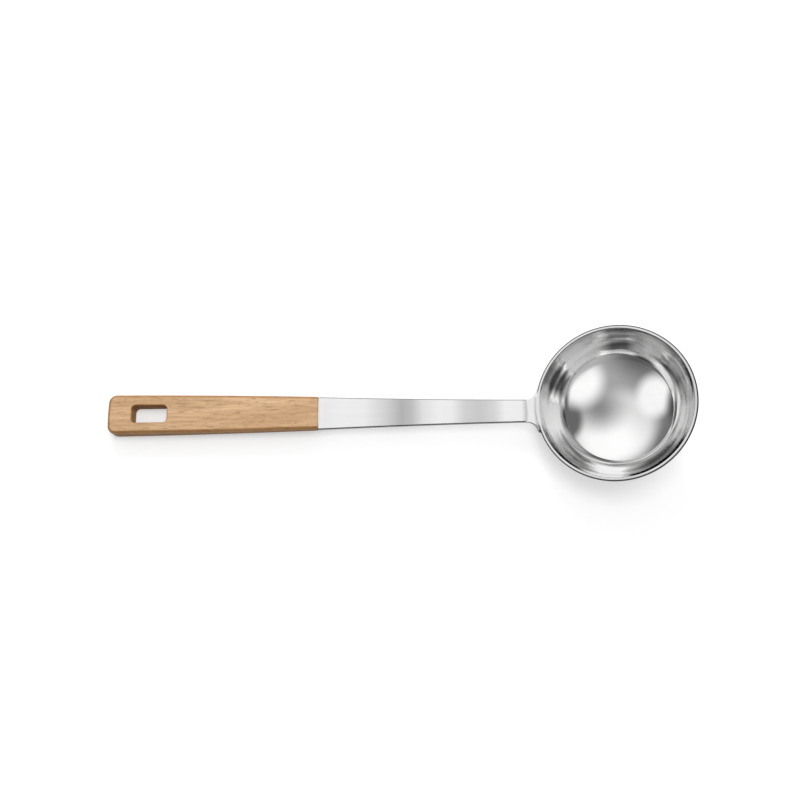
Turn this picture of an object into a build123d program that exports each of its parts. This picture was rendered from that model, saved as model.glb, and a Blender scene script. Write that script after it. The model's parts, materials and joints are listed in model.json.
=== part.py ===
from build123d import *
import os
from math import acos, asin, atan2, cos, degrees, hypot, radians, sin, sqrt

os.makedirs("parts", exist_ok=True)

# Soup ladle lying on a table. It rests on the round underside of its bowl and on the tail
# of its wooden handle. +X runs from the tail to the bowl, +Z is up, and the origin is on
# the table, at the middle of the footprint. All sizes are in millimetres and degrees.

# Bowl, in its own frame: u along the rim plane, w up the bowl's axis, zero at the rim's middle
rim_outer_radius = 42.0
lip_width = 1.8
lip_height = 1.6
lip_round = 0.5
lip_inner_round = 0.3
sheet = 1.2
floor_radius_share = 9 / 7
floor_angle = 31
bend_radius_share = 13 / 42
bend_angle = 43
wall_angle = 81

# Stem, a flat bar that leaves the wood at its full width and ends in a flared foot
stem_rise = 19.1
stem_length = 122.0
stem_thickness = 2.5
stem_back_width = 18.2
stem_middle_width = 15.3
stem_front_width = 12.5
stem_middle_share = 0.4
stem_edge_round = 0.35
seat_drop = 5.9
flare_start = 8.2
flare_radius = 5.8
ear_radius = 2.5
flare_angle = 74

# Tang, the hidden tail of the stem inside the wood
tang_length = 60.0
tang_front_width = 10.0
tang_end_width = 8.0
tang_corner_radius = 2.5
key_hole_radius = 1.6
key_hole_shares = (0.4, 0.8)

# Weld beads, ground smooth in the corners between the foot and the bowl
top_bead_reach = 9.3
top_bead_bite = 0.15
top_bead_half_width = 10.9
top_bead_height = 3.9
under_bead_leg = 3.0
under_bead_sag = 0.35
bead_sweep = 50

# Handle, one piece of wood
handle_length = 114.8
tail_width = 21.7
tail_thickness = 10.6
front_thickness = 6.7
tail_corner_radius = 4.4
tail_bow = 0.5
side_bow = 0.3
handle_edge_round = 1.8
front_edge_round = 0.6
slot_start = 13.0
slot_length = 19.4
slot_width = 9.5
slot_corner_radius = 2.4
slot_edge_round = 0.6

# Adhesive film that fills the mortise round the tang
glue_gap = 0.25
glue_end_gap = 1.5

overrun = 5.0

# The bowl's section: a floor arc, a tight bend and a steep wall arc that runs up to the lip.
# The floor and the bend keep their shares of the rim's radius, so that the wall keeps its room.
floor_radius = rim_outer_radius * floor_radius_share
bend_radius = rim_outer_radius * bend_radius_share
mouth_radius = rim_outer_radius - lip_width
floor_sin = sin(radians(floor_angle))
floor_cos = cos(radians(floor_angle))
bend_sin = sin(radians(bend_angle))
bend_cos = cos(radians(bend_angle))
wall_sin = sin(radians(wall_angle))
wall_start = floor_radius * floor_sin + bend_radius * (bend_sin - floor_sin)
wall_radius = (mouth_radius - wall_start) / (wall_sin - bend_sin)
wall_centre_u = mouth_radius - wall_radius * wall_sin
wall_centre_w = wall_radius * cos(radians(wall_angle))
bend_centre_u = wall_centre_u + (wall_radius - bend_radius) * bend_sin
bend_centre_w = wall_centre_w - (wall_radius - bend_radius) * bend_cos
floor_centre_w = bend_centre_w + (floor_radius - bend_radius) * floor_cos
outer_floor_radius = floor_radius + sheet
outer_bend_radius = bend_radius + sheet
outer_wall_radius = wall_radius + sheet
lip_angle = degrees(acos((wall_centre_w + lip_height) / outer_wall_radius))
seat_radius = wall_centre_u + sqrt(outer_wall_radius**2 - (wall_centre_w + seat_drop) ** 2)

# The bowl seen from the handle: s from the tail along its middle plane, n square to it
rise_sin = sin(radians(stem_rise))
rise_cos = cos(radians(stem_rise))
seat_s = handle_length + stem_length
rim_s = seat_s + seat_radius * rise_cos - seat_drop * rise_sin
rim_n = stem_thickness / 2 + seat_radius * rise_sin + seat_drop * rise_cos
ball_s = rim_s - floor_centre_w * rise_sin
ball_n = rim_n + floor_centre_w * rise_cos

# The table touches the rounded heel of the handle and the underside of the bowl
heel_s = handle_edge_round
heel_n = handle_edge_round - tail_thickness / 2
heel_to_ball = hypot(ball_s - heel_s, ball_n - heel_n)
table_angle = degrees(asin((outer_floor_radius - handle_edge_round) / heel_to_ball))
rest_angle = table_angle - degrees(atan2(ball_n - heel_n, ball_s - heel_s))
rim_tilt = rest_angle + stem_rise
rest_sin = sin(radians(rest_angle))
rest_cos = cos(radians(rest_angle))
tilt_sin = sin(radians(rim_tilt))
tilt_cos = cos(radians(rim_tilt))

# Ends of the ladle along the table, counted from under the middle of the tail
tail_z = handle_edge_round - heel_s * rest_sin - heel_n * rest_cos
rim_x = rim_s * rest_cos - rim_n * rest_sin
rim_z = tail_z + rim_s * rest_sin + rim_n * rest_cos
tail_end = heel_s * rest_cos + heel_n * rest_sin - handle_edge_round
lip_reach = (rim_outer_radius - lip_round) * tilt_cos + (lip_height - lip_round) * tilt_sin
far_end = rim_x + lip_reach + lip_round
tail_x = -(tail_end + far_end) / 2

tail_point = (tail_x, 0, tail_z)
rim_point = (tail_x + rim_x, 0, rim_z)
handle_direction = (rest_cos, 0, rest_sin)
rim_direction = (tilt_cos, 0, tilt_sin)
handle_plane = Plane(origin=tail_point, x_dir=handle_direction, z_dir=(-rest_sin, 0, rest_cos))
handle_side = Plane(origin=tail_point, x_dir=handle_direction, z_dir=(0, -1, 0))
bowl_side = Plane(origin=rim_point, x_dir=rim_direction, z_dir=(0, -1, 0))
bowl_axis = Axis(rim_point, (-tilt_sin, 0, tilt_cos))

# Bowl: one drawn sheet with a narrow lip turned outwards
floor_centre = (0, floor_centre_w)
bend_centre = (bend_centre_u, bend_centre_w)
wall_centre = (wall_centre_u, wall_centre_w)
bend_start = floor_angle - 90
bend_sweep = bend_angle - floor_angle
wall_begin = bend_angle - 90
lip_sweep = lip_angle - bend_angle
with BuildPart() as bowl:
    with BuildSketch(bowl_side) as bowl_section:
        with BuildLine():
            inner_floor = CenterArc(floor_centre, floor_radius, -90, floor_angle)
            CenterArc(bend_centre, bend_radius, bend_start, bend_sweep)
            inner_wall = CenterArc(wall_centre, wall_radius, wall_begin, wall_angle - bend_angle)
            outer_floor = CenterArc(floor_centre, outer_floor_radius, -90, floor_angle)
            CenterArc(bend_centre, outer_bend_radius, bend_start, bend_sweep)
            outer_wall = CenterArc(wall_centre, outer_wall_radius, wall_begin, lip_sweep)
            Polyline(
                inner_wall @ 1,
                (rim_outer_radius, 0),
                (rim_outer_radius, -lip_height),
                outer_wall @ 1,
            )
            Line(inner_floor @ 0, outer_floor @ 0)
        make_face()
        fillet(bowl_section.vertices().group_by(Axis.X)[-1], radius=lip_round)
        fillet(bowl_section.vertices().group_by(Axis.Y)[-1].sort_by(Axis.X)[0], radius=lip_inner_round)
    revolve(axis=bowl_axis)
bowl.part.label = "bowl"

# Everything inside the bowl's outer skin, used to cut the foot and the beads to the wall
with BuildPart() as bowl_bulk:
    with BuildSketch(bowl_side):
        with BuildLine():
            bulk_floor = CenterArc(floor_centre, outer_floor_radius, -90, floor_angle)
            CenterArc(bend_centre, outer_bend_radius, bend_start, bend_sweep)
            bulk_wall = CenterArc(wall_centre, outer_wall_radius, wall_begin, lip_sweep)
            Polyline(
                bulk_wall @ 1,
                (rim_outer_radius, -lip_height),
                (rim_outer_radius, 0),
                (0, 0),
                bulk_floor @ 0,
            )
        make_face()
    revolve(axis=bowl_axis)

# Stem: blade, flared foot and tang from one bar
flare_s = seat_s - flare_start
blade_middle_s = handle_length + (flare_s - handle_length) * stem_middle_share
flare_sin = sin(radians(flare_angle))
flare_drop = 1 - cos(radians(flare_angle))
ear_s = flare_s + (flare_radius + ear_radius) * flare_sin
ear_half_width = stem_front_width / 2 + (flare_radius + ear_radius) * flare_drop
turn_point = (flare_s + flare_radius * flare_sin, stem_front_width / 2 + flare_radius * flare_drop)
with BuildSketch(handle_plane) as blade_outline:
    with BuildLine():
        blade_edge = ThreePointArc(
            (handle_length, stem_back_width / 2),
            (blade_middle_s, stem_middle_width / 2),
            (flare_s, stem_front_width / 2),
        )
        flare = RadiusArc(blade_edge @ 1, turn_point, -flare_radius)
        ear = RadiusArc(flare @ 1, (ear_s, ear_half_width), ear_radius)
        Polyline(
            ear @ 1,
            (seat_s + overrun, ear_half_width),
            (seat_s + overrun, 0),
            (handle_length, 0),
            blade_edge @ 0,
        )
    make_face()
    mirror(about=Plane.XZ)

with BuildPart() as stem:
    extrude(blade_outline.sketch, amount=stem_thickness / 2, both=True)
    fillet(stem.faces().filter_by(handle_plane).edges(), radius=stem_edge_round)
    add(bowl_bulk.part, mode=Mode.SUBTRACT)
    with BuildSketch(handle_plane) as tang_outline:
        with BuildLine():
            Polyline(
                (handle_length + stem_edge_round, tang_front_width / 2),
                (handle_length - tang_length, tang_end_width / 2),
                (handle_length - tang_length, -tang_end_width / 2),
                (handle_length + stem_edge_round, -tang_front_width / 2),
                close=True,
            )
        make_face()
        fillet(tang_outline.vertices().group_by(Axis.X)[0], radius=tang_corner_radius)
        with Locations([(handle_length - tang_length * share, 0) for share in key_hole_shares]):
            Circle(key_hole_radius, mode=Mode.SUBTRACT)
    extrude(amount=stem_thickness / 2, both=True)
stem.part.label = "stem"

# Top bead: fills the sharp corner over the foot, from a toe on the stem up to the lip
seat_point = Vector(-seat_radius, -seat_drop)
stem_forward = Vector(rise_cos, -rise_sin)
stem_up = Vector(rise_sin, rise_cos)
half_bar = stem_up * (stem_thickness / 2)
toe = seat_point - stem_forward * top_bead_reach - stem_up * top_bead_bite
lip_corner = Vector(lip_round - rim_outer_radius, -lip_height)
with BuildPart() as top_bead:
    with BuildSketch(bowl_side):
        with BuildLine():
            bead_face = TangentArc(toe, lip_corner, tangent=stem_forward)
            Polyline(
                lip_corner,
                lip_corner + Vector(overrun, 0),
                seat_point + stem_forward * overrun - half_bar,
                toe - half_bar,
                toe,
            )
        make_face()
    revolve(axis=bowl_axis, revolution_arc=bead_sweep / 2)
    mirror(about=Plane.XZ)
    extrude(blade_outline.sketch, amount=tail_thickness, mode=Mode.INTERSECT)
    with BuildSketch(Plane(tail_point, x_dir=(0, 1, 0), z_dir=handle_direction)):
        with BuildLine():
            crown = ThreePointArc(
                (-top_bead_half_width, stem_thickness / 2),
                (0, stem_thickness / 2 + top_bead_height),
                (top_bead_half_width, stem_thickness / 2),
            )
            Polyline(crown @ 1, (top_bead_half_width, 0), (-top_bead_half_width, 0), crown @ 0)
        make_face()
    extrude(amount=seat_s + overrun, mode=Mode.INTERSECT)
    add(bowl_bulk.part, mode=Mode.SUBTRACT)
    add(stem.part, mode=Mode.SUBTRACT)

# Under bead: a small fillet in the open corner under the foot
under_start = seat_point - stem_up * stem_thickness
arc_centre = Vector(-wall_centre_u, wall_centre_w)
from_centre = under_start - arc_centre
along = from_centre.dot(stem_forward)
run_to_wall = -along - sqrt(along**2 - from_centre.dot(from_centre) + outer_wall_radius**2)
under_corner = under_start + stem_forward * run_to_wall
corner_out = (under_corner - arc_centre).normalized()
wall_out = corner_out.rotate(Axis.Z, degrees(under_bead_leg / outer_wall_radius))
under_toe = under_corner - stem_forward * under_bead_leg
wall_toe = arc_centre + wall_out * outer_wall_radius
bead_middle = (under_toe + wall_toe) * 0.5
bead_inward = (under_corner - bead_middle).normalized()
with BuildPart() as under_bead:
    with BuildSketch(bowl_side):
        with BuildLine():
            ThreePointArc(under_toe, bead_middle + bead_inward * under_bead_sag, wall_toe)
            Polyline(
                wall_toe,
                wall_toe - wall_out * overrun,
                under_corner - corner_out * overrun + half_bar,
                under_toe + half_bar,
                under_toe,
            )
        make_face()
    revolve(axis=bowl_axis, revolution_arc=bead_sweep / 2)
    mirror(about=Plane.XZ)
    extrude(blade_outline.sketch, amount=-tail_thickness, mode=Mode.INTERSECT)
    add(bowl_bulk.part, mode=Mode.SUBTRACT)
    add(stem.part, mode=Mode.SUBTRACT)

with BuildPart() as foot_weld:
    add(top_bead.part)
    add(under_bead.part)
foot_weld.part.label = "foot_weld"

# Handle: one tapered piece of wood with a hanging slot and a mortise for the tang
mortise_depth = tang_length + glue_end_gap
mortise_height = stem_thickness + 2 * glue_gap
middle_half_width = (tail_width + stem_back_width) / 4 + side_bow
with BuildSketch(handle_plane) as mortise_outline:
    with BuildLine():
        Polyline(
            (handle_length, tang_front_width / 2 + glue_gap),
            (handle_length - mortise_depth, tang_end_width / 2 + glue_gap),
            (handle_length - mortise_depth, -tang_end_width / 2 - glue_gap),
            (handle_length, -tang_front_width / 2 - glue_gap),
            close=True,
        )
    make_face()

with BuildPart() as handle:
    with BuildSketch(handle_plane) as handle_outline:
        with BuildLine():
            tail_arc = ThreePointArc((tail_bow, -tail_width / 2), (0, 0), (tail_bow, tail_width / 2))
            side_arc = ThreePointArc(
                tail_arc @ 1,
                (handle_length / 2, middle_half_width),
                (handle_length, stem_back_width / 2),
            )
            ThreePointArc(
                tail_arc @ 0,
                (handle_length / 2, -middle_half_width),
                (handle_length, -stem_back_width / 2),
            )
            Line(side_arc @ 1, (handle_length, -stem_back_width / 2))
        make_face()
        fillet(handle_outline.vertices().group_by(Axis.X)[0], radius=tail_corner_radius)
    extrude(amount=tail_thickness, both=True)
    with BuildSketch(handle_side):
        with BuildLine():
            Polyline(
                (0, tail_thickness / 2),
                (handle_length, front_thickness / 2),
                (handle_length, -front_thickness / 2),
                (0, -tail_thickness / 2),
                close=True,
            )
        make_face()
    extrude(amount=tail_width, both=True, mode=Mode.INTERSECT)
    broad_faces = handle.faces().sort_by(Axis.Z)
    broad_edges = broad_faces[0].edges() + broad_faces[-1].edges()
    fillet(broad_edges.filter_by(Axis.Y, reverse=True), radius=handle_edge_round)
    fillet(handle.faces().sort_by(Axis.X)[-1].edges(), radius=front_edge_round)
    with BuildSketch(handle_plane):
        with Locations((slot_start + slot_length / 2, 0)):
            RectangleRounded(slot_length, slot_width, slot_corner_radius)
    extrude(amount=tail_thickness, both=True, mode=Mode.SUBTRACT)
    flat_faces = handle.faces().filter_by(GeomType.PLANE).sort_by(SortBy.AREA)[-2:]
    slot_edges = [edge for face in flat_faces for wire in face.inner_wires() for edge in wire.edges()]
    fillet(slot_edges, radius=slot_edge_round)
    extrude(mortise_outline.sketch, amount=mortise_height / 2, both=True, mode=Mode.SUBTRACT)
handle.part.label = "handle"

# Tang adhesive: the film between tang and mortise, keyed through the tang's holes
with BuildPart() as tang_adhesive:
    extrude(mortise_outline.sketch, amount=mortise_height / 2, both=True)
    add(stem.part, mode=Mode.SUBTRACT)
tang_adhesive.part.label = "tang_adhesive"

export_step(bowl.part, "parts/bowl.step")
export_step(stem.part, "parts/stem.step")
export_step(foot_weld.part, "parts/foot_weld.step")
export_step(handle.part, "parts/handle.step")
export_step(tang_adhesive.part, "parts/tang_adhesive.step")
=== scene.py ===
import json
import math

import bmesh
import bpy
from mathutils import Matrix, Vector


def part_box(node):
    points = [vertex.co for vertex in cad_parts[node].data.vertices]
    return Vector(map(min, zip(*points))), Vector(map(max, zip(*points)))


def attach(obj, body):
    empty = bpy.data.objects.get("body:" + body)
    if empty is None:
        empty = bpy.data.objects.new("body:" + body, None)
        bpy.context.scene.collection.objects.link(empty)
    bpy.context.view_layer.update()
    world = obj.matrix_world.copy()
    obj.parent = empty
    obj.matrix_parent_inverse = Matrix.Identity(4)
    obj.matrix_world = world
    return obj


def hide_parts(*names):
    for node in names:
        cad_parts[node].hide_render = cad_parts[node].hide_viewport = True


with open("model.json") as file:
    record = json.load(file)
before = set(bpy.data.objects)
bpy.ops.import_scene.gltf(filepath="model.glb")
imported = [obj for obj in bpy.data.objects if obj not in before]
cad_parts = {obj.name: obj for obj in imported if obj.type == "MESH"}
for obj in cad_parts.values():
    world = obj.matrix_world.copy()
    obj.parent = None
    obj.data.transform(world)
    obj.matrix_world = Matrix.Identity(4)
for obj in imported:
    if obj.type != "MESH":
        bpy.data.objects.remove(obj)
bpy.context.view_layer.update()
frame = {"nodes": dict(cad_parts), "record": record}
print("frame loaded:", sorted(frame["nodes"]))

mm = 0.001
near = 0.01 * mm
tiny = 0.001 * mm
acrossY = Vector((0, 1, 0))
aboutZ = (0, 0, 1)

# Placing: the ladle lies on the table, and its hanging slot tells where the handle is.
# s runs from the tail to the bowl along the handle's middle plane, n stands square to it.
hangSlot = next(m for m in frame["record"]["mounts"] if m["name"] == "hang_slot")
upFromHandle = Vector(hangSlot["axis"]).normalized()
alongHandle = acrossY.cross(upFromHandle)
restAngle = math.degrees(math.atan2(alongHandle.z, alongHandle.x))

handleShape = dict(
    length=114.8 * mm,
    tailWidth=21.7 * mm,
    frontWidth=18.2 * mm,
    sideBow=0.3 * mm,
    tailThickness=10.6 * mm,
    frontThickness=6.7 * mm,
    tailBow=0.5 * mm,
    cornerRadius=4.4 * mm,
    edgeRound=1.8 * mm,
    frontRound=0.6 * mm,
    slotStart=13 * mm,
    slotLength=19.4 * mm,
    slotWidth=9.5 * mm,
    slotCorner=2.4 * mm,
    slotRound=0.6 * mm,
    roundSteps=6,
    slotRoundSteps=4,
    frontRoundSteps=3,
    cornerSteps=10,
    tailSteps=8,
    sideSteps=24,
    sharpAngle=50,
)
stemShape = dict(
    length=122 * mm,
    thickness=2.5 * mm,
    backWidth=18.2 * mm,
    middleWidth=15.3 * mm,
    frontWidth=12.5 * mm,
    middleShare=0.4,
    edgeRound=0.35 * mm,
    flareStart=8.2 * mm,
    flareRadius=5.8 * mm,
    earRadius=2.5 * mm,
    flareAngle=74,
    tangLength=60 * mm,
    tangFrontWidth=10 * mm,
    tangEndWidth=8 * mm,
    keyHoleRadius=1.6 * mm,
    keyHoleShares=(0.4, 0.8),
    overrun=5 * mm,
    holeSteps=16,
    sideSteps=24,
    flareSteps=16,
    earSteps=12,
    roundSteps=3,
    sharpAngle=50,
)
bowlShape = dict(
    rimRadius=42 * mm,
    lipWidth=1.8 * mm,
    lipHeight=1.6 * mm,
    lipRound=0.5 * mm,
    lipInnerRound=0.3 * mm,
    sheet=1.2 * mm,
    floorRadius=54 * mm,
    floorAngle=31,
    bendRadius=13 * mm,
    bendAngle=43,
    wallAngle=81,
    rise=19.1,  # tilt of the rim against the handle, in degrees
    turns=288,
    floorSteps=26,
    bendSteps=12,
    wallSteps=34,
    lipSteps=4,
)


def handleMatrix():
    s = handleShape
    slotMiddle = s["slotStart"] + s["slotLength"] / 2
    tail = Vector(hangSlot["pos_m"]) - alongHandle * slotMiddle
    turned = Matrix((alongHandle, acrossY, upFromHandle)).transposed().to_4x4()
    return Matrix.Translation(tail) @ turned


def bowlMatrix():
    b = bowlShape
    tilt = math.radians(restAngle + b["rise"])
    along = Vector((math.cos(tilt), 0, math.sin(tilt)))
    up = Vector((-math.sin(tilt), 0, math.cos(tilt)))
    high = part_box("bowl")[1]
    lipCentre = high - Vector((1, 0, 1)) * b["lipRound"]  # the lip's rounded edge fills the box's corner
    toLip = along * (b["rimRadius"] - b["lipRound"]) - up * b["lipRound"]
    toLowLip = along * (b["rimRadius"] - b["lipRound"]) - up * (b["lipHeight"] - b["lipRound"])
    rimZ = lipCentre.z - toLip.z
    rimX = lipCentre.x - toLowLip.x
    turned = Matrix((along, acrossY, up)).transposed().to_4x4()
    return Matrix.Translation((rimX, 0, rimZ)) @ turned


def bowlCurves(offset=0.0):
    # floor, bend and wall of the bowl's section, moved outwards by an offset:
    # centre, radius, angle that each arc ends at, and its steps
    b = bowlShape
    floor, bend, wall = (math.radians(b[part + "Angle"]) for part in ("floor", "bend", "wall"))
    mouth = b["rimRadius"] - b["lipWidth"]
    wallStart = b["floorRadius"] * math.sin(floor) + b["bendRadius"] * (math.sin(bend) - math.sin(floor))
    wallRadius = (mouth - wallStart) / (math.sin(wall) - math.sin(bend))
    wallCentre = Vector((mouth - wallRadius * math.sin(wall), 0, wallRadius * math.cos(wall)))
    bendCentre = wallCentre + (wallRadius - b["bendRadius"]) * Vector((math.sin(bend), 0, -math.cos(bend)))
    downFloor = Vector((math.sin(floor), 0, -math.cos(floor)))
    floorCentre = bendCentre - (b["floorRadius"] - b["bendRadius"]) * downFloor
    return (
        (floorCentre, b["floorRadius"] + offset, b["floorAngle"], b["floorSteps"]),
        (bendCentre, b["bendRadius"] + offset, b["bendAngle"], b["bendSteps"]),
        (wallCentre, wallRadius + offset, b["wallAngle"], b["wallSteps"]),
    )


# Drawing with vertices
def drawTo(bm, vert, place):
    end = bmesh.ops.extrude_vert_indiv(bm, verts=[vert])["verts"][0]
    end.co = place
    return end


def drawArc(bm, vert, centre, angle, steps, axis):
    made = bmesh.ops.spin(bm, geom=[vert], cent=centre, axis=axis, angle=math.radians(angle), steps=steps)
    return next(g for g in made["geom_last"] if isinstance(g, bmesh.types.BMVert))


def startAt(bm, place):
    return bmesh.ops.create_vert(bm, co=place)["vert"][0]


def circleThrough(a, b, c):
    # centre of the circle through three points in the plane of the handle
    ab, ac = b - a, c - a
    turn = 2 * (ab.x * ac.y - ab.y * ac.x)
    x = (ac.y * ab.length_squared - ab.y * ac.length_squared) / turn
    y = (ab.x * ac.length_squared - ac.x * ab.length_squared) / turn
    return a + Vector((x, y, 0))


def circlesMeet(a, reachA, b, reachB):
    # the meeting point of two circles that lies nearer the tail
    apart = b - a
    along = (reachA**2 - reachB**2 + apart.length_squared) / (2 * apart.length)
    aside = math.sqrt(reachA**2 - along**2)
    way = apart.normalized()
    square = Vector((-way.y, way.x, 0))
    return min((a + way * along + square * aside * side for side in (-1, 1)), key=lambda v: v.x)


def signedAngle(centre, start, end):
    a, b = start - centre, end - centre
    return math.degrees(math.atan2(a.x * b.y - a.y * b.x, a.dot(b)))


def addObject(name, data):
    made = bpy.data.objects.new(name, data)
    bpy.context.scene.collection.objects.link(made)
    return made


def addMesh(bm, name, material=None):
    mesh = bpy.data.meshes.new(name)
    bm.to_mesh(mesh)
    bm.free()
    if material:
        mesh.materials.append(material)
    return addObject(name, mesh)


def finishPiece(bm, name, matrix, slot, material, *nodes):
    bmesh.ops.transform(bm, matrix=matrix, verts=bm.verts)
    bmesh.ops.recalc_face_normals(bm, faces=bm.faces)
    piece = addMesh(bm, name, material)
    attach(piece, "root")
    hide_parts(*nodes)
    return piece


def shadeSmooth(piece, sharpAngle=None, weighted=True):
    piece.data.shade_smooth()
    if sharpAngle is not None:
        piece.data.set_sharp_from_angle(angle=math.radians(sharpAngle))
    if weighted:
        even = piece.modifiers.new("evenNormals", "WEIGHTED_NORMAL")
        even.keep_sharp = True


# Materials
class Wire:
    # wraps a socket, so that shader maths reads as an expression
    def __init__(self, shade, socket):
        self.shade, self.socket = shade, socket

    def math(self, operation, *values):
        return self.shade.node("ShaderNodeMath", dict(operation=operation), dict(enumerate(values)))

    def __add__(self, other):
        return self.math("ADD", self, other)

    def __radd__(self, other):
        return self.math("ADD", other, self)

    def __sub__(self, other):
        return self.math("SUBTRACT", self, other)

    def __rsub__(self, other):
        return self.math("SUBTRACT", other, self)

    def __mul__(self, other):
        return self.math("MULTIPLY", self, other)

    def __rmul__(self, other):
        return self.math("MULTIPLY", other, self)

    def __truediv__(self, other):
        return self.math("DIVIDE", self, other)

    def __pow__(self, other):
        return self.math("POWER", self, other)

    def __abs__(self):
        return self.math("ABSOLUTE", self)


class Shade:
    # one node tree, filled through a single method
    def __init__(self, block):
        block.use_nodes = True
        self.tree = block.node_tree
        self.tree.nodes.clear()

    def node(self, kind, settings=None, sockets=None, out=0):
        made = self.tree.nodes.new(kind)
        for name, value in (settings or {}).items():
            if name == "stops":
                fillRamp(made.color_ramp, value)
            else:
                setattr(made, name, value)
        for name, value in (sockets or {}).items():
            if isinstance(value, Wire):
                self.tree.links.new(value.socket, made.inputs[name])
            else:
                made.inputs[name].default_value = value
        return Wire(self, made.outputs[out]) if made.outputs else made

    def place(self, matrix, scale=(1, 1, 1)):
        # object coordinates, turned into a piece's own frame and stretched
        back = matrix.inverted()
        turned = self.node(
            "ShaderNodeMapping",
            dict(vector_type="POINT"),
            {"Vector": self.object(), "Location": back.translation, "Rotation": back.to_euler()},
        )
        if tuple(scale) == (1, 1, 1):
            return turned
        return self.node("ShaderNodeMapping", None, {"Vector": turned, "Scale": scale})

    def object(self):
        return self.node("ShaderNodeTexCoord", out="Object")

    def facing(self):
        return self.node("ShaderNodeTexCoord", out="Normal")

    def parts(self, vector, *axes):
        return (self.node("ShaderNodeSeparateXYZ", None, {0: vector}, out=axis) for axis in axes)

    def combine(self, *parts):
        return self.node("ShaderNodeCombineXYZ", None, dict(enumerate(parts)))

    def vector(self, operation, *values, out=0):
        return self.node("ShaderNodeVectorMath", dict(operation=operation), dict(enumerate(values)), out=out)

    def stops(self, value, stops):
        return self.node("ShaderNodeValToRGB", dict(stops=stops), {0: value})

    def bump(self, strength, depth, height, **more):
        sockets = {"Strength": strength, "Distance": depth, "Height": height, **more}
        return self.node("ShaderNodeBump", None, sockets)

    def ray(self, kind):
        return self.node("ShaderNodeLightPath", out=f"Is {kind} Ray")

    def surface(self, colour, **rest):
        rest = {name.title(): value for name, value in rest.items()}
        shader = self.node("ShaderNodeBsdfPrincipled", None, {"Base Color": colour, **rest})
        self.node("ShaderNodeOutputMaterial", None, {"Surface": shader})

    def noise(self, vector, scale=1.0, detail=3.0, rough=0.5, distort=0.0):
        return self.node(
            "ShaderNodeTexNoise",
            dict(noise_dimensions="3D"),
            {"Vector": vector, "Scale": scale, "Detail": detail, "Roughness": rough, "Distortion": distort},
        )

    def ramp(self, value, low, high, toLow=0.0, toHigh=1.0):
        return self.node(
            "ShaderNodeMapRange",
            dict(interpolation_type="SMOOTHSTEP"),
            {"Value": value, "From Min": low, "From Max": high, "To Min": toLow, "To Max": toHigh},
        )

    def mix(self, share, first, second, blend="MIX"):
        return self.node(
            "ShaderNodeMix",
            dict(data_type="RGBA", blend_type=blend),
            {0: share, 6: first, 7: second},
            out=2,
        )


def fillRamp(ramp, stops):
    while len(ramp.elements) > 1:
        ramp.elements.remove(ramp.elements[-1])
    ramp.elements[0].position, ramp.elements[0].color = stops[0]
    for position, colour in stops[1:]:
        ramp.elements.new(position).color = colour


def newMaterial(name):
    material = bpy.data.materials.new(name)
    return material, Shade(material)


def grey(value):
    return (value, value, value, 1.0)


bowlFinish = dict(
    colour=(0.90, 0.90, 0.895, 1),
    dull=(0.85, 0.85, 0.845, 1),
    outside=(0.56, 0.56, 0.565, 1),
    outsideRoughness=0.2,
    # painted dark reflection on the lip's edges: at the top, then down the side
    edge=(0.07, 0.07, 0.075, 1),
    paintedEdgeSideDark=(0.30, 0.30, 0.305, 1),
    edgeDepth=0.35 * mm,
    lipDepth=1.1 * mm,
    roughness=0.05,
    haze=0.04,
    lipRoughness=0.3,
    lineScale=1900,
    lineDepth=0.0004 * mm,
    lineStrength=0.25,
    wearScale=38,
    wearAt=(0.35, 0.75),
    waveTurn=1.3,
    waveScale=260,
    waveDepth=0.3 * mm,
    wavesFrom=32 * mm,
    wavesFull=35 * mm,
    # painted reflections round the wall, dark and bright patches: direction in degrees from the far end,
    # then tone, where 0 is dark, 0.5 plain and 1 bright
    paintedWallTones=(
        (-180, 1.0), (-166, 0.92), (-151, 0.45), (-132, 0.32), (-118, 0.70), (-107, 1.0),
        (-92, 1.0), (-80, 0.45), (-65, 0.04), (-44, 0.0), (-34, 0.35), (-22, 0.85),
        (-5, 0.95), (9, 0.50), (20, 0.12), (38, 0.08), (48, 0.60), (60, 0.80),
        (70, 0.40), (80, 0.06), (92, 0.12), (108, 0.80), (118, 1.0), (133, 1.0),
        (141, 0.25), (147, 0.02), (157, 0.02), (166, 0.50), (174, 0.94), (180, 1.0),
    ),
    # colours of the painted dark and bright reflections; the bright ones are nearly matt, a painted
    # highlight
    paintedDarkReflection=(0.07, 0.07, 0.072, 1),
    paintedBrightReflection=(0.97, 0.97, 0.965, 1),
    brightMetallic=0.12,
    brightRoughness=0.3,
    streakTurn=1.1,
    streakScale=560,
    toneStrength=0.9,
    toneBreak=0.8,
    toneCurve=0.62,
    darkTones=(0.50, -0.05),
    brightTones=(0.52, 1.05),
    toneFrom=30.3 * mm,
    toneFull=33.3 * mm,
    wallTurn=(2 * mm, 8 * mm),
    outerEdge=(41.2 * mm, 41.45 * mm),
    innerEdge=(40.1 * mm, 0.36 * mm),  # middle and half width of the line
    innerDepth=(-1.2 * mm, -0.6 * mm),
    clearNearStem=(-0.985, -0.965),
)


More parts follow.
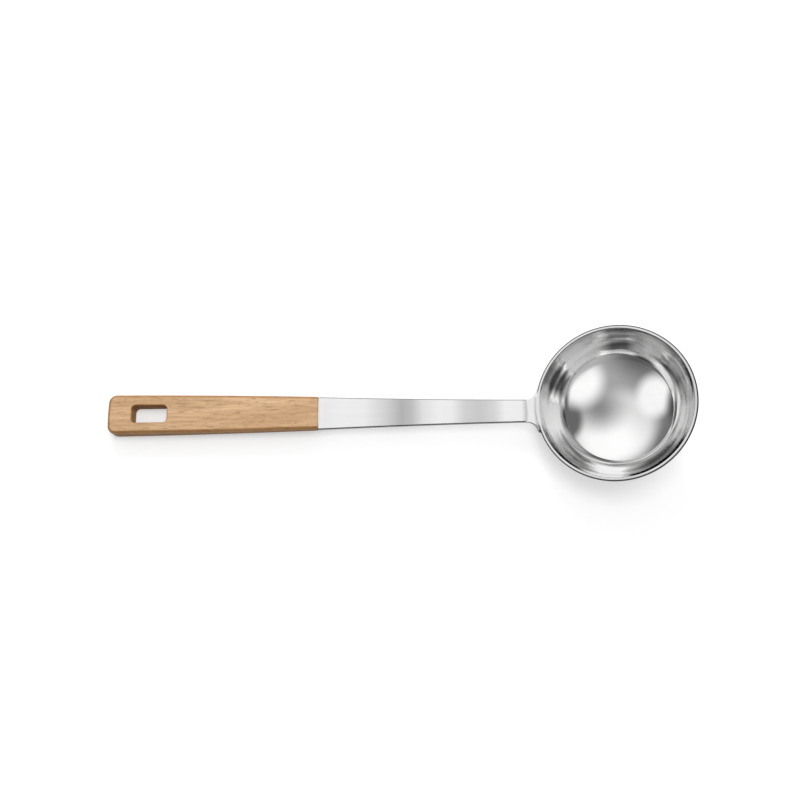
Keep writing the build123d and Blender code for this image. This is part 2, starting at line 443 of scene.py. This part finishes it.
def makeMirrorSteel():
    f = bowlFinish
    material, shade = newMaterial("mirrorSteel")
    spot = shade.place(bowlMatrix())
    x, y, z = shade.parts(spot, 0, 1, 2)
    radius = (x * x + y * y) ** 0.5
    ahead, aside = x / radius, y / radius
    lines = shade.noise(shade.combine(radius, z, 0.0), f["lineScale"], detail=2, rough=0.6)
    # shallow waves of the drawn wall, long round the bowl and short across it
    waveSpot = shade.combine(ahead * f["waveTurn"], aside * f["waveTurn"], (radius - z) * f["waveScale"])
    waves = shade.noise(waveSpot, detail=2) * shade.ramp(radius, f["wavesFrom"], f["wavesFull"])
    wear = shade.ramp(shade.noise(spot, f["wearScale"]), *f["wearAt"])
    drawn = shade.bump(1.0, f["waveDepth"], waves)
    # long concentric streaks on the inside of the wall, where the polishing wheel ran, break up the painted
    # reflections
    streakSpot = shade.combine(ahead * f["streakTurn"], aside * f["streakTurn"], radius * f["streakScale"])
    streaks = shade.noise(streakSpot, detail=0)
    share = y.math("ARCTAN2", y, x) / math.tau + 0.5
    stops = [(angle / 360 + 0.5, grey(level)) for angle, level in f["paintedWallTones"]]
    drift = shade.stops(share, stops) - 0.5
    paintedWallTone = 0.5 + drift * f["toneStrength"] + (streaks - 0.5) * f["toneBreak"]
    fromRim = shade.vector("SUBTRACT", shade.object(), bowlMatrix().translation)
    outward = shade.vector("DOT_PRODUCT", fromRim, shade.facing(), out="Value")
    level, turned = f["wallTurn"]
    onWall = shade.ramp(outward, -level, -turned) * shade.ramp(radius, f["toneFrom"], f["toneFull"])
    # where the painted dark and bright reflections lie on the wall
    dark, bright = (
        shade.ramp(paintedWallTone, *f[part]) ** f["toneCurve"] * onWall for part in ("darkTones", "brightTones")
    )
    # the lip's two edges carry a painted dark reflection, left off where the stem joins
    outer = shade.ramp(radius, *f["outerEdge"])
    middle, half = f["innerEdge"]
    inner = shade.ramp(abs(radius - middle), half, half / 3) * shade.ramp(z, *f["innerDepth"])
    edge = outer.math("MAXIMUM", outer, inner) * shade.ramp(ahead, *f["clearNearStem"])
    # the lip's top takes the painted bright reflection colour, a painted highlight, and is rougher
    lip = shade.ramp(radius, middle, middle + half) * shade.ramp(z, -f["lipDepth"], -f["edgeDepth"])
    tone = shade.mix(wear, f["colour"], f["dull"])
    tone = shade.mix(bright, shade.mix(dark, tone, f["paintedDarkReflection"]), f["paintedBrightReflection"])
    # the outside is left satin
    outside = shade.ramp(outward, level, turned)
    tone = shade.mix(lip, shade.mix(outside, tone, f["outside"]), f["paintedBrightReflection"])
    paintedEdgeDark = shade.mix(shade.ramp(z, -f["edgeDepth"], -2 * f["edgeDepth"]), f["edge"], f["paintedEdgeSideDark"])
    rough = f["roughness"] + wear * f["haze"] + lip * f["lipRoughness"] + bright * f["brightRoughness"]
    shade.surface(
        shade.mix(edge, tone, paintedEdgeDark),
        metallic=1 - bright * (1 - f["brightMetallic"]),
        roughness=rough + outside * f["outsideRoughness"],
        normal=shade.bump(f["lineStrength"], f["lineDepth"], lines, Normal=drawn),
    )
    return material


stemFinish = dict(
    # painted light and dark reflection bands on the brushed top along the stem: place in millimetres from
    # the tail, brightness
    tones=(
        (114.8, 1.0), (116.4, 1.0), (118, 0.93), (128, 0.96), (140, 0.94), (152, 0.72),
        (160.5, 0.50), (166, 0.58), (172, 0.84), (181, 0.97), (188, 0.94), (195, 0.72),
        (203, 0.66), (211, 0.76), (217, 0.98), (226, 0.97), (228.2, 0.66), (229.2, 0.64),
        (230.4, 0.97), (232.2, 0.97), (233.1, 0.40), (234.0, 0.9),
    ),
    # painted dark reflection and shade on the arrises, darkest on the near side, and on the sides
    arris=(0.46, 0.46, 0.465, 1),
    paintedNearArrisShade=(0.08, 0.08, 0.085, 1),
    nearAt=(1 * mm, -1 * mm),
    side=(0.11, 0.11, 0.115, 1),
    arrisWidth=0.75 * mm,
    arrisRoughness=0.25,
    streakTone=0.98,
    metallic=0.42,
    roughness=0.44,
    streakStretch=(6, 1500, 600),
    streakDepth=0.004 * mm,
    streakStrength=0.35,
    streakRoughness=0.1,
    bandStretch=(5, 260, 120),
    bandAt=(0.3, 0.7),
    sideAt=(0.8, 0.45),
)


def edgeOfBlade(along):
    # half the blade's width at a place along it, up to the foot
    t = stemShape
    back = handleShape["length"]
    end = t["length"] - t["flareStart"]
    middle = end * t["middleShare"]
    toMiddle, toEnd = ((t["backWidth"] - t[part + "Width"]) / 2 for part in ("middle", "front"))
    curve = (toMiddle / middle - toEnd / end) / (end - middle)
    slope = toMiddle / middle + curve * middle
    place = (along - back).math("MINIMUM", along - back, end)
    return t["backWidth"] / 2 - place * (slope - place * curve)


def makeBrushedSteel():
    f = stemFinish
    material, shade = newMaterial("brushedSteel")
    along, across = shade.parts(shade.place(handleMatrix()), 0, 1)
    first, last = f["tones"][0][0] * mm, f["tones"][-1][0] * mm
    share = shade.node("ShaderNodeMapRange", None, {"Value": along, "From Min": first, "From Max": last})
    stops = [((place * mm - first) / (last - first), grey(level)) for place, level in f["tones"]]
    tone = shade.stops(share, stops)
    streaks = shade.noise(shade.place(handleMatrix(), f["streakStretch"]), detail=4, rough=0.55)
    bands = shade.noise(shade.place(handleMatrix(), f["bandStretch"]), detail=2)
    # the bar's sides carry a painted dark reflection, darker than its brushed faces; its arrises lie
    # between, with painted shade darkest on the near side
    side = shade.ramp(abs(next(shade.parts(shade.facing(), 2))), *f["sideAt"])
    arris = shade.ramp(edgeOfBlade(along) - abs(across), f["arrisWidth"], f["arrisWidth"] / 3)
    arrisTone = shade.mix(shade.ramp(across, *f["nearAt"]), f["arris"], f["paintedNearArrisShade"])
    # the painted reflection bands, broken up by the brushing bands
    brushedAndPaintedBands = shade.mix(shade.ramp(bands, *f["bandAt"]), tone, grey(f["streakTone"]), "MULTIPLY")
    shade.surface(
        shade.mix(side, shade.mix(arris, brushedAndPaintedBands, arrisTone), f["side"]),
        metallic=f["metallic"] + arris * (1 - f["metallic"]),
        roughness=f["roughness"] + streaks * f["streakRoughness"] - arris * f["arrisRoughness"],
        normal=shade.bump(f["streakStrength"], f["streakDepth"], streaks),
    )
    return material


weldFinish = dict(
    colour=(0.93, 0.93, 0.93, 1),
    marked=(0.8835, 0.8835, 0.8835, 1),
    # painted dark reflection on the weld's steep flanks
    side=(0.20, 0.20, 0.205, 1),
    sideAt=(0.75, 0.4),
    metallic=0.45,
    roughness=0.3,
    markScale=900,
    markStrength=0.2,
    markDepth=0.004 * mm,
    markRoughness=0.08,
)


def makeGroundWeld():
    f = weldFinish
    material, shade = newMaterial("groundWeld")
    marks = shade.noise(shade.place(bowlMatrix()), f["markScale"], rough=0.55)
    # the weld's steep flanks are painted darker, a painted dark reflection
    side = shade.ramp(next(shade.parts(shade.facing(), 2)), *f["sideAt"])
    shade.surface(
        shade.mix(side, shade.mix(marks, f["marked"], f["colour"]), f["side"]),
        metallic=f["metallic"],
        roughness=f["roughness"] + marks * f["markRoughness"],
        normal=shade.bump(f["markStrength"], f["markDepth"], marks),
    )
    return material


woodFinish = dict(
    light=(0.78, 0.515, 0.30, 1),
    middle=(0.60, 0.375, 0.20, 1),
    dark=(0.36, 0.20, 0.09, 1),
    pore=(0.27, 0.14, 0.06, 1),
    # painted shade on the rounded edges and sides, by how far the surface turns away from level
    paintedSideShade=(
        (0.02, (1, 1, 1, 1)), (0.2, (0.66, 0.54, 0.37, 1)),
        (0.7, (0.62, 0.49, 0.33, 1)), (1.0, (0.80, 0.66, 0.44, 1)),
    ),
    # painted shade on surfaces that face down
    paintedUnderShade=(0.34, 0.29, 0.22, 1),
    farSide=0.5,
    # painted shade inside the routed slot
    paintedSlotShade=(1.0, 0.87, 0.46, 1),
    roughness=0.46,
    # layers of the grain: stretch along, across and through the plank, then where each begins and is full
    slow=(16, 190, 150),
    slowAt=(0.32, 0.68),
    wavy=(120, 700, 500),
    wavyAt=(0.5, 0.72),
    wavyShare=0.6,
    fine=(60, 1500, 1100),
    fineAt=(0.46, 0.76),
    fineShare=0.55,
    flecks=(230, 1700, 1300),
    poresAt=(0.6, 0.72),
    poreShare=0.6,
    underAt=(0.12, -0.12),
    slotEdge=(0.35 * mm, 0.05 * mm),
    fineRoughness=0.16,
    underRoughness=0.35,
    bumpStrength=0.4,
    bumpDepth=0.07 * mm,
    fineRelief=0.5,
    fibreRelief=0.4,
)


def makeLightWood():
    f = woodFinish
    h = handleShape
    material, shade = newMaterial("lightWood")
    x, y = shade.parts(shade.place(handleMatrix()), 0, 1)
    slow = shade.noise(shade.place(handleMatrix(), f["slow"]), detail=4, rough=0.6, distort=0.8)
    # short wavy fibres, then fine straight ones, then pores
    wavy = shade.noise(shade.place(handleMatrix(), f["wavy"]), rough=0.6, distort=1.2)
    fine = shade.noise(shade.place(handleMatrix(), f["fine"]), rough=0.6, distort=0.3)
    flecks = shade.noise(shade.place(handleMatrix(), f["flecks"]), detail=2, distort=0.4)
    pores = shade.ramp(flecks, *f["poresAt"])
    fibre = shade.ramp(wavy, *f["wavyAt"])
    tone = shade.mix(shade.ramp(slow, *f["slowAt"]), f["light"], f["middle"])
    tone = shade.mix(fibre * f["wavyShare"], tone, f["dark"])
    tone = shade.mix(shade.ramp(fine, *f["fineAt"]) * f["fineShare"], tone, f["dark"])
    tone = shade.mix(pores * f["poreShare"], tone, f["pore"])
    # painted shade: the plank's sides and rounded edges are darker, most on the near side, and so is the
    # routed slot inside
    forwards, sideways, upwards = shade.parts(shade.facing(), 0, 1, 2)
    turned = sideways.math("MAXIMUM", 0 - sideways, 0 - forwards)
    turned = turned.math("MAXIMUM", turned, sideways * f["farSide"])
    tone = shade.mix(1.0, tone, shade.stops(turned, f["paintedSideShade"]), "MULTIPLY")
    # painted shade where the wood faces down
    under = shade.ramp(upwards, *f["underAt"])
    tone = shade.mix(under, tone, f["paintedUnderShade"], "MULTIPLY")
    # painted shade inside the routed slot, by distance from its rounded corners
    corner = h["slotCorner"]
    overX = abs(x - h["slotStart"] - h["slotLength"] / 2) - (h["slotLength"] / 2 - corner)
    overY = abs(y) - (h["slotWidth"] / 2 - corner)
    overX, overY = (over.math("MAXIMUM", over, 0.0) for over in (overX, overY))
    fromCorner = (overX * overX + overY * overY) ** 0.5
    inside = shade.ramp(fromCorner, *(corner + edge for edge in f["slotEdge"]))
    relief = fine * -f["fineRelief"] - pores - fibre * f["fibreRelief"]
    shade.surface(
        shade.mix(inside, tone, f["paintedSlotShade"], "MULTIPLY"),
        roughness=f["roughness"] + fine * f["fineRoughness"] + under * f["underRoughness"],
        normal=shade.bump(f["bumpStrength"], f["bumpDepth"], relief),
    )
    return material


adhesiveFinish = dict(
    clear=(0.62, 0.52, 0.34, 1),
    cloudy=(0.7, 0.61, 0.43, 1),
    cloudScale=300,
    roughness=0.35,
    cloudRoughness=0.2,
)


def makeCuredAdhesive():
    f = adhesiveFinish
    material, shade = newMaterial("curedAdhesive")
    cloud = shade.noise(shade.place(handleMatrix()), f["cloudScale"])
    rough = f["roughness"] + cloud * f["cloudRoughness"]
    shade.surface(shade.mix(cloud, f["clear"], f["cloudy"]), roughness=rough)
    return material


# Bowl: the section is drawn once and spun round the bowl's axis
def drawBowlSection(bm, offset, endAngle):
    curves = bowlCurves(offset)
    centre, radius = curves[0][:2]
    last = startAt(bm, centre - Vector((0, 0, radius)))
    start = 0
    for centre, radius, end, steps in curves:
        end = min(end, endAngle)
        last = drawArc(bm, last, centre, end - start, steps, -acrossY)
        start = end
    return last


def spinSection(bm, turns):
    whole = list(bm.verts) + list(bm.edges)
    bmesh.ops.spin(bm, geom=whole, cent=(0, 0, 0), axis=aboutZ, angle=math.tau, steps=turns, use_merge=True)
    bmesh.ops.remove_doubles(bm, verts=bm.verts, dist=near)


def ringEdges(bm, radius, height):
    def onRing(v):
        return abs(math.hypot(v.co.x, v.co.y) - radius) < near and abs(v.co.z - height) < near
    return [e for e in bm.edges if all(onRing(v) for v in e.verts)]


def bevelEdges(bm, edges, offset, segments):
    bmesh.ops.bevel(
        bm, geom=edges, offset=offset, offset_type="OFFSET", segments=segments,
        profile=0.5, affect="EDGES", material=-1, clamp_overlap=True,
    )


def makeBowl():
    b = bowlShape
    bm = bmesh.new()
    wallCentre, outerWall = bowlCurves(b["sheet"])[-1][:2]
    lipAngle = math.degrees(math.acos((wallCentre.z + b["lipHeight"]) / outerWall))
    innerEnd = drawBowlSection(bm, 0, b["wallAngle"])
    outerEnd = drawBowlSection(bm, b["sheet"], lipAngle)
    top = drawTo(bm, innerEnd, Vector((b["rimRadius"], 0, 0)))
    low = drawTo(bm, top, Vector((b["rimRadius"], 0, -b["lipHeight"])))
    bmesh.ops.contextual_create(bm, geom=[low, outerEnd])
    spinSection(bm, b["turns"])
    mouth = b["rimRadius"] - b["lipWidth"]
    for height in (0, -b["lipHeight"]):
        bevelEdges(bm, ringEdges(bm, b["rimRadius"], height), b["lipRound"], b["lipSteps"])
    innerTurn = math.radians(b["wallAngle"]) / 2
    bevelEdges(bm, ringEdges(bm, mouth, 0), b["lipInnerRound"] * math.tan(innerTurn), b["lipSteps"])
    piece = finishPiece(bm, "bowlSkin", bowlMatrix(), "polished_steel", mirrorSteel, "bowl")
    shadeSmooth(piece)


def makeBowlCutter():
    # a solid as wide as the middle of the sheet, to end the foot inside the wall
    b = bowlShape
    bm = bmesh.new()
    last = drawBowlSection(bm, b["sheet"] / 2, b["wallAngle"])
    drawTo(bm, last, Vector((0, 0, last.co.z)))
    spinSection(bm, b["turns"])
    bmesh.ops.transform(bm, matrix=bowlMatrix(), verts=bm.verts)
    bmesh.ops.recalc_face_normals(bm, faces=bm.faces)
    return addMesh(bm, "cutter")


def fillAndThicken(bm, thickness):
    # closes the drawn half outline, gives it thickness and mirrors it
    bmesh.ops.remove_doubles(bm, verts=bm.verts, dist=tiny)
    face = bmesh.ops.contextual_create(bm, geom=list(bm.edges))["faces"][0]
    bmesh.ops.translate(bm, verts=bm.verts, vec=(0, 0, -thickness / 2))
    grown = bmesh.ops.extrude_face_region(bm, geom=[face], use_keep_orig=True)
    lifted = [g for g in grown["geom"] if isinstance(g, bmesh.types.BMVert)]
    bmesh.ops.translate(bm, verts=lifted, vec=(0, 0, thickness))
    middle = [f for f in bm.faces if abs(f.normal.z) < 0.5 and all(abs(v.co.y) < tiny for v in f.verts)]
    bmesh.ops.delete(bm, geom=middle, context="FACES_ONLY")
    bmesh.ops.mirror(bm, geom=list(bm.verts) + list(bm.edges) + list(bm.faces), axis="Y", merge_dist=tiny)
    bmesh.ops.recalc_face_normals(bm, faces=bm.faces)


def rimEdges(bm, low, high):
    # edges between a broad face and a side, with their middles between two places along the handle
    found = []
    for edge in bm.edges:
        if len(edge.link_faces) != 2:
            continue
        flat = [abs(f.normal.z) > 0.5 for f in edge.link_faces]
        middle = (edge.verts[0].co.x + edge.verts[1].co.x) / 2
        if flat[0] != flat[1] and low < middle < high:
            found.append(edge)
    return found


def makeStem():
    t = stemShape
    back = handleShape["length"]
    seat = back + t["length"]
    flareAt = seat - t["flareStart"]
    middleAt = back + (flareAt - back) * t["middleShare"]
    bm = bmesh.new()
    vert = startAt(bm, (seat + t["overrun"], 0, 0))
    # back along the middle line, round half of each key hole
    tangEnd = back - t["tangLength"]
    for share in t["keyHoleShares"]:
        hole = Vector((back - t["tangLength"] * share, 0, 0))
        vert = drawTo(bm, vert, hole + Vector((t["keyHoleRadius"], 0, 0)))
        vert = drawArc(bm, vert, hole, 180, t["holeSteps"], aboutZ)
    vert = drawTo(bm, vert, (tangEnd, 0, 0))
    vert = drawTo(bm, vert, (tangEnd, t["tangEndWidth"] / 2, 0))
    vert = drawTo(bm, vert, (back, t["tangFrontWidth"] / 2, 0))
    vert = drawTo(bm, vert, (back, t["backWidth"] / 2, 0))
    start = Vector((back, t["backWidth"] / 2, 0))
    middle = Vector((middleAt, t["middleWidth"] / 2, 0))
    front = Vector((flareAt, t["frontWidth"] / 2, 0))
    centre = circleThrough(start, middle, front)
    vert = drawArc(bm, vert, centre, signedAngle(centre, start, front), t["sideSteps"], aboutZ)
    flareCentre = front + Vector((0, t["flareRadius"], 0))
    vert = drawArc(bm, vert, flareCentre, t["flareAngle"], t["flareSteps"], aboutZ)
    turned = math.radians(t["flareAngle"])
    outward = Vector((math.sin(turned), -math.cos(turned), 0))
    earCentre = flareCentre + outward * (t["flareRadius"] + t["earRadius"])
    vert = drawArc(bm, vert, earCentre, -t["flareAngle"], t["earSteps"], aboutZ)
    vert = drawTo(bm, vert, (seat + t["overrun"], vert.co.y, 0))
    drawTo(bm, vert, (seat + t["overrun"], 0, 0))
    fillAndThicken(bm, t["thickness"])
    bevelEdges(bm, rimEdges(bm, back - near, seat), t["edgeRound"], t["roundSteps"])
    piece = finishPiece(bm, "stemBar", handleMatrix(), "satin_steel", brushedSteel, "stem")
    cutter = makeBowlCutter()
    cut = piece.modifiers.new("bowlWall", "BOOLEAN")
    cut.object, cut.operation, cut.solver = cutter, "DIFFERENCE", "EXACT"
    bpy.context.view_layer.update()
    shaped = bpy.data.meshes.new_from_object(piece.evaluated_get(bpy.context.evaluated_depsgraph_get()))
    piece.modifiers.clear()
    piece.data = shaped
    bpy.data.objects.remove(cutter)
    shadeSmooth(piece, t["sharpAngle"])


def makeHandle():
    h = handleShape
    length = h["length"]
    halfTail, halfFront = h["tailWidth"] / 2, h["frontWidth"] / 2
    slotFrom, slotTo = h["slotStart"], h["slotStart"] + h["slotLength"]
    halfSlot, corner = h["slotWidth"] / 2, h["slotCorner"]
    bm = bmesh.new()
    vert = startAt(bm, (length, 0, 0))
    vert = drawTo(bm, vert, (slotTo, 0, 0))
    vert = drawTo(bm, vert, (slotTo, halfSlot - corner, 0))
    vert = drawArc(bm, vert, (slotTo - corner, halfSlot - corner, 0), 90, h["cornerSteps"], aboutZ)
    vert = drawTo(bm, vert, (slotFrom + corner, halfSlot, 0))
    vert = drawArc(bm, vert, (slotFrom + corner, halfSlot - corner, 0), 90, h["cornerSteps"], aboutZ)
    vert = drawTo(bm, vert, (slotFrom, 0, 0))
    vert = drawTo(bm, vert, (0, 0, 0))
    tailCorner = Vector((h["tailBow"], halfTail, 0))
    frontCorner = Vector((length, halfFront, 0))
    middleSide = Vector((length / 2, (halfTail + halfFront) / 2 + h["sideBow"], 0))
    bow = circleThrough(Vector((0, 0, 0)), tailCorner, Vector((h["tailBow"], -halfTail, 0)))
    side = circleThrough(tailCorner, middleSide, frontCorner)
    bowRadius, sideRadius, radius = bow.length, (side - frontCorner).length, h["cornerRadius"]
    # the corner round lies inside both arcs and touches them
    cornerCentre = circlesMeet(bow, bowRadius - radius, side, sideRadius - radius)
    bowEnd = bow + (cornerCentre - bow).normalized() * bowRadius
    sideStart = side + (cornerCentre - side).normalized() * sideRadius
    vert = drawArc(bm, vert, bow, signedAngle(bow, Vector((0, 0, 0)), bowEnd), h["tailSteps"], aboutZ)
    cornerTurn = signedAngle(cornerCentre, bowEnd, sideStart)
    vert = drawArc(bm, vert, cornerCentre, cornerTurn, h["cornerSteps"], aboutZ)
    vert = drawArc(bm, vert, side, signedAngle(side, sideStart, frontCorner), h["sideSteps"], aboutZ)
    drawTo(bm, vert, (length, 0, 0))
    fillAndThicken(bm, h["tailThickness"])
    for v in bm.verts:
        v.co.z *= 1 - v.co.x / length * (1 - h["frontThickness"] / h["tailThickness"])
    bm.normal_update()
    rim = rimEdges(bm, -near, length + near)
    def inSlot(v):
        return slotFrom - near < v.co.x < slotTo + near and abs(v.co.y) < halfSlot + near
    slotRim = [e for e in rim if all(inSlot(v) for v in e.verts)]
    frontRim = [e for e in rim if all(abs(v.co.x - length) < near for v in e.verts)]
    outerRim = [e for e in rim if e not in slotRim and e not in frontRim]
    bevelEdges(bm, outerRim, h["edgeRound"], h["roundSteps"])
    bevelEdges(bm, [e for e in slotRim if e.is_valid], h["slotRound"], h["slotRoundSteps"])
    bm.normal_update()
    atFront = [f for f in bm.faces if f.normal.x > 0.9 and all(abs(v.co.x - length) < near for v in f.verts)]
    frontEdges = [e for f in atFront for e in f.edges if sum(g in atFront for g in e.link_faces) == 1]
    bevelEdges(bm, frontEdges, h["frontRound"], h["frontRoundSteps"])
    piece = finishPiece(bm, "woodHandle", handleMatrix(), "light_wood", lightWood, "handle")
    shadeSmooth(piece, h["sharpAngle"])


weldShape = dict(mergeWithin=0.002 * mm, sharpAngle=35)


def makeWeld():
    node = frame["nodes"]["foot_weld"]
    bm = bmesh.new()
    bm.from_mesh(node.data)
    bmesh.ops.remove_doubles(bm, verts=bm.verts, dist=weldShape["mergeWithin"])
    piece = finishPiece(bm, "weldBead", Matrix.Identity(4), "ground_weld", groundWeld, "foot_weld")
    shadeSmooth(piece, weldShape["sharpAngle"], weighted=False)


mirrorSteel = makeMirrorSteel()
brushedSteel = makeBrushedSteel()
groundWeld = makeGroundWeld()
lightWood = makeLightWood()
curedAdhesive = makeCuredAdhesive()
print("materials made")

makeBowl()
print("bowl made")
makeStem()
print("stem made")
makeWeld()
print("weld made")
makeHandle()
print("handle made")
adhesive = frame["nodes"]["tang_adhesive"]
adhesive.data.materials.clear()
adhesive.data.materials.append(curedAdhesive)

# Stage
cameraSet = dict(aim=(0.0037, 0.0093, 0), distance=0.5272, elevation=76.32, turn=0.42, lens=42.47, sensor=36)
floorSet = dict(size=6.0, albedo=0.7, glow=0.45, fadeFrom=0.34, fadeTo=0.75)
lampSet = dict(
    overhead=dict(power=4.9, size=0.55, place=(0.08, 0.10, 1.20)),
    window=dict(power=4.2, size=0.42, place=(-0.1, 1.0, 0.66)),
)
# What the polished steel sees: soft lit cards and dark gaps between them.
# Direction from +X and height above the table, half width and softness in degrees, then brightness
studioSet = dict(
    table=0.16,
    ceiling=0.48,
    cards=(
        (125, 55, 40, 20, 0.8),  # broad card at the upper left
        (230, 15, 20, 45, 0.1),  # dark room at the lower left
        (100, 40, 30, 35, 1.1),  # window at the top
        (180, 25, 20, 15, 1.05),  # card over the handle
        (110, 85, 20, 40, 0.3),  # dark gap overhead
        (20, 45, 25, 10, 0.15),  # dark gap at the right
        (-50, 60, 25, 20, 1.1),  # card at the lower right
        (-65, 20, 25, 45, 0.5),  # dim end of that card
        (170, -5, 15, 15, 0.05),  # dark table edge beyond the handle
        (35, 15, 10, 30, 1.1),  # low strip at the right
    ),
    across=(-0.7, 0.9),
    north=0.9,
    south=0.24,
)


def makeFloor():
    f = floorSet
    bm = bmesh.new()
    bmesh.ops.create_grid(bm, x_segments=1, y_segments=1, size=f["size"])
    material, shade = newMaterial("paleFloor")
    direct = shade.ray("Camera")
    seen = direct + shade.ray("Glossy") + shade.ray("Transmission")
    plain = shade.node("ShaderNodeBsdfDiffuse", None, {"Color": grey(f["albedo"])})
    glow = shade.node("ShaderNodeEmission", None, {"Color": grey(1), "Strength": seen * f["glow"]})
    both = shade.node("ShaderNodeAddShader", None, {0: plain, 1: glow})
    # far from the object the floor fades into the white surround
    away = shade.vector("LENGTH", shade.object(), out="Value")
    white = shade.node("ShaderNodeEmission", None, {"Color": grey(1), "Strength": 1.0})
    far = shade.ramp(away, f["fadeFrom"], f["fadeTo"]) * direct
    ground = shade.node("ShaderNodeMixShader", None, {0: far, 1: both, 2: white})
    shade.node("ShaderNodeOutputMaterial", None, {"Surface": ground})
    addMesh(bm, "floor", material)


def aimAt(thing, place, aim):
    thing.location = place
    thing.rotation_mode = "QUATERNION"
    thing.rotation_quaternion = (Vector(aim) - Vector(place)).to_track_quat("-Z", "Y")


def makeLamp(name):
    values = lampSet[name]
    light = bpy.data.lights.new(name + "Lamp", "AREA")
    light.shape = "DISK"
    light.size, light.energy = values["size"], values["power"]
    lamp = addObject(name + "Lamp", light)
    aimAt(lamp, values["place"], (0, 0, 0))
    lamp.visible_glossy = False


def makeWorld():
    s = studioSet
    world = bpy.data.worlds.new("studio")
    bpy.context.scene.world = world
    shade = Shade(world)
    direct, glossy = shade.ray("Camera"), shade.ray("Glossy")
    way = shade.node("ShaderNodeTexCoord", out="Generated")
    y, z = shade.parts(way, 1, 2)
    seen = s["table"] + (s["ceiling"] - s["table"]) * z.math("MAXIMUM", z, 0.0)
    for turn, height, half, soft, level in s["cards"]:
        turn, height, half, soft = (math.radians(a) for a in (turn, height, half, soft))
        towards = (math.cos(height) * math.cos(turn), math.cos(height) * math.sin(turn), math.sin(height))
        close = shade.vector("DOT_PRODUCT", way, towards, out="Value")
        off = close.math("ARCCOSINE", close)
        inside = shade.ramp(off, half + soft / 2, max(half - soft / 2, 0))
        seen = seen + (level - seen) * inside
    soft = shade.ramp(y, *s["across"], s["south"], s["north"])
    lit = soft + (seen - soft) * glossy
    strength = lit + (1 - lit) * direct
    glow = shade.node("ShaderNodeBackground", None, {"Color": grey(1), "Strength": strength})
    shade.node("ShaderNodeOutputWorld", None, {"Surface": glow})


def makeCamera():
    c = cameraSet
    data = bpy.data.cameras.new("camera")
    data.lens = c["lens"]
    data.sensor_width = c["sensor"]
    camera = addObject("camera", data)
    lift, turn = math.radians(c["elevation"]), math.radians(c["turn"])
    back = Vector((-math.cos(lift) * math.sin(turn), -math.cos(lift) * math.cos(turn), math.sin(lift)))
    aimAt(camera, Vector(c["aim"]) + back * c["distance"], c["aim"])
    bpy.context.scene.camera = camera


makeFloor()
for name in lampSet:
    makeLamp(name)
makeWorld()
makeCamera()
bpy.context.scene.view_settings.view_transform = "Standard"
print("stage set")
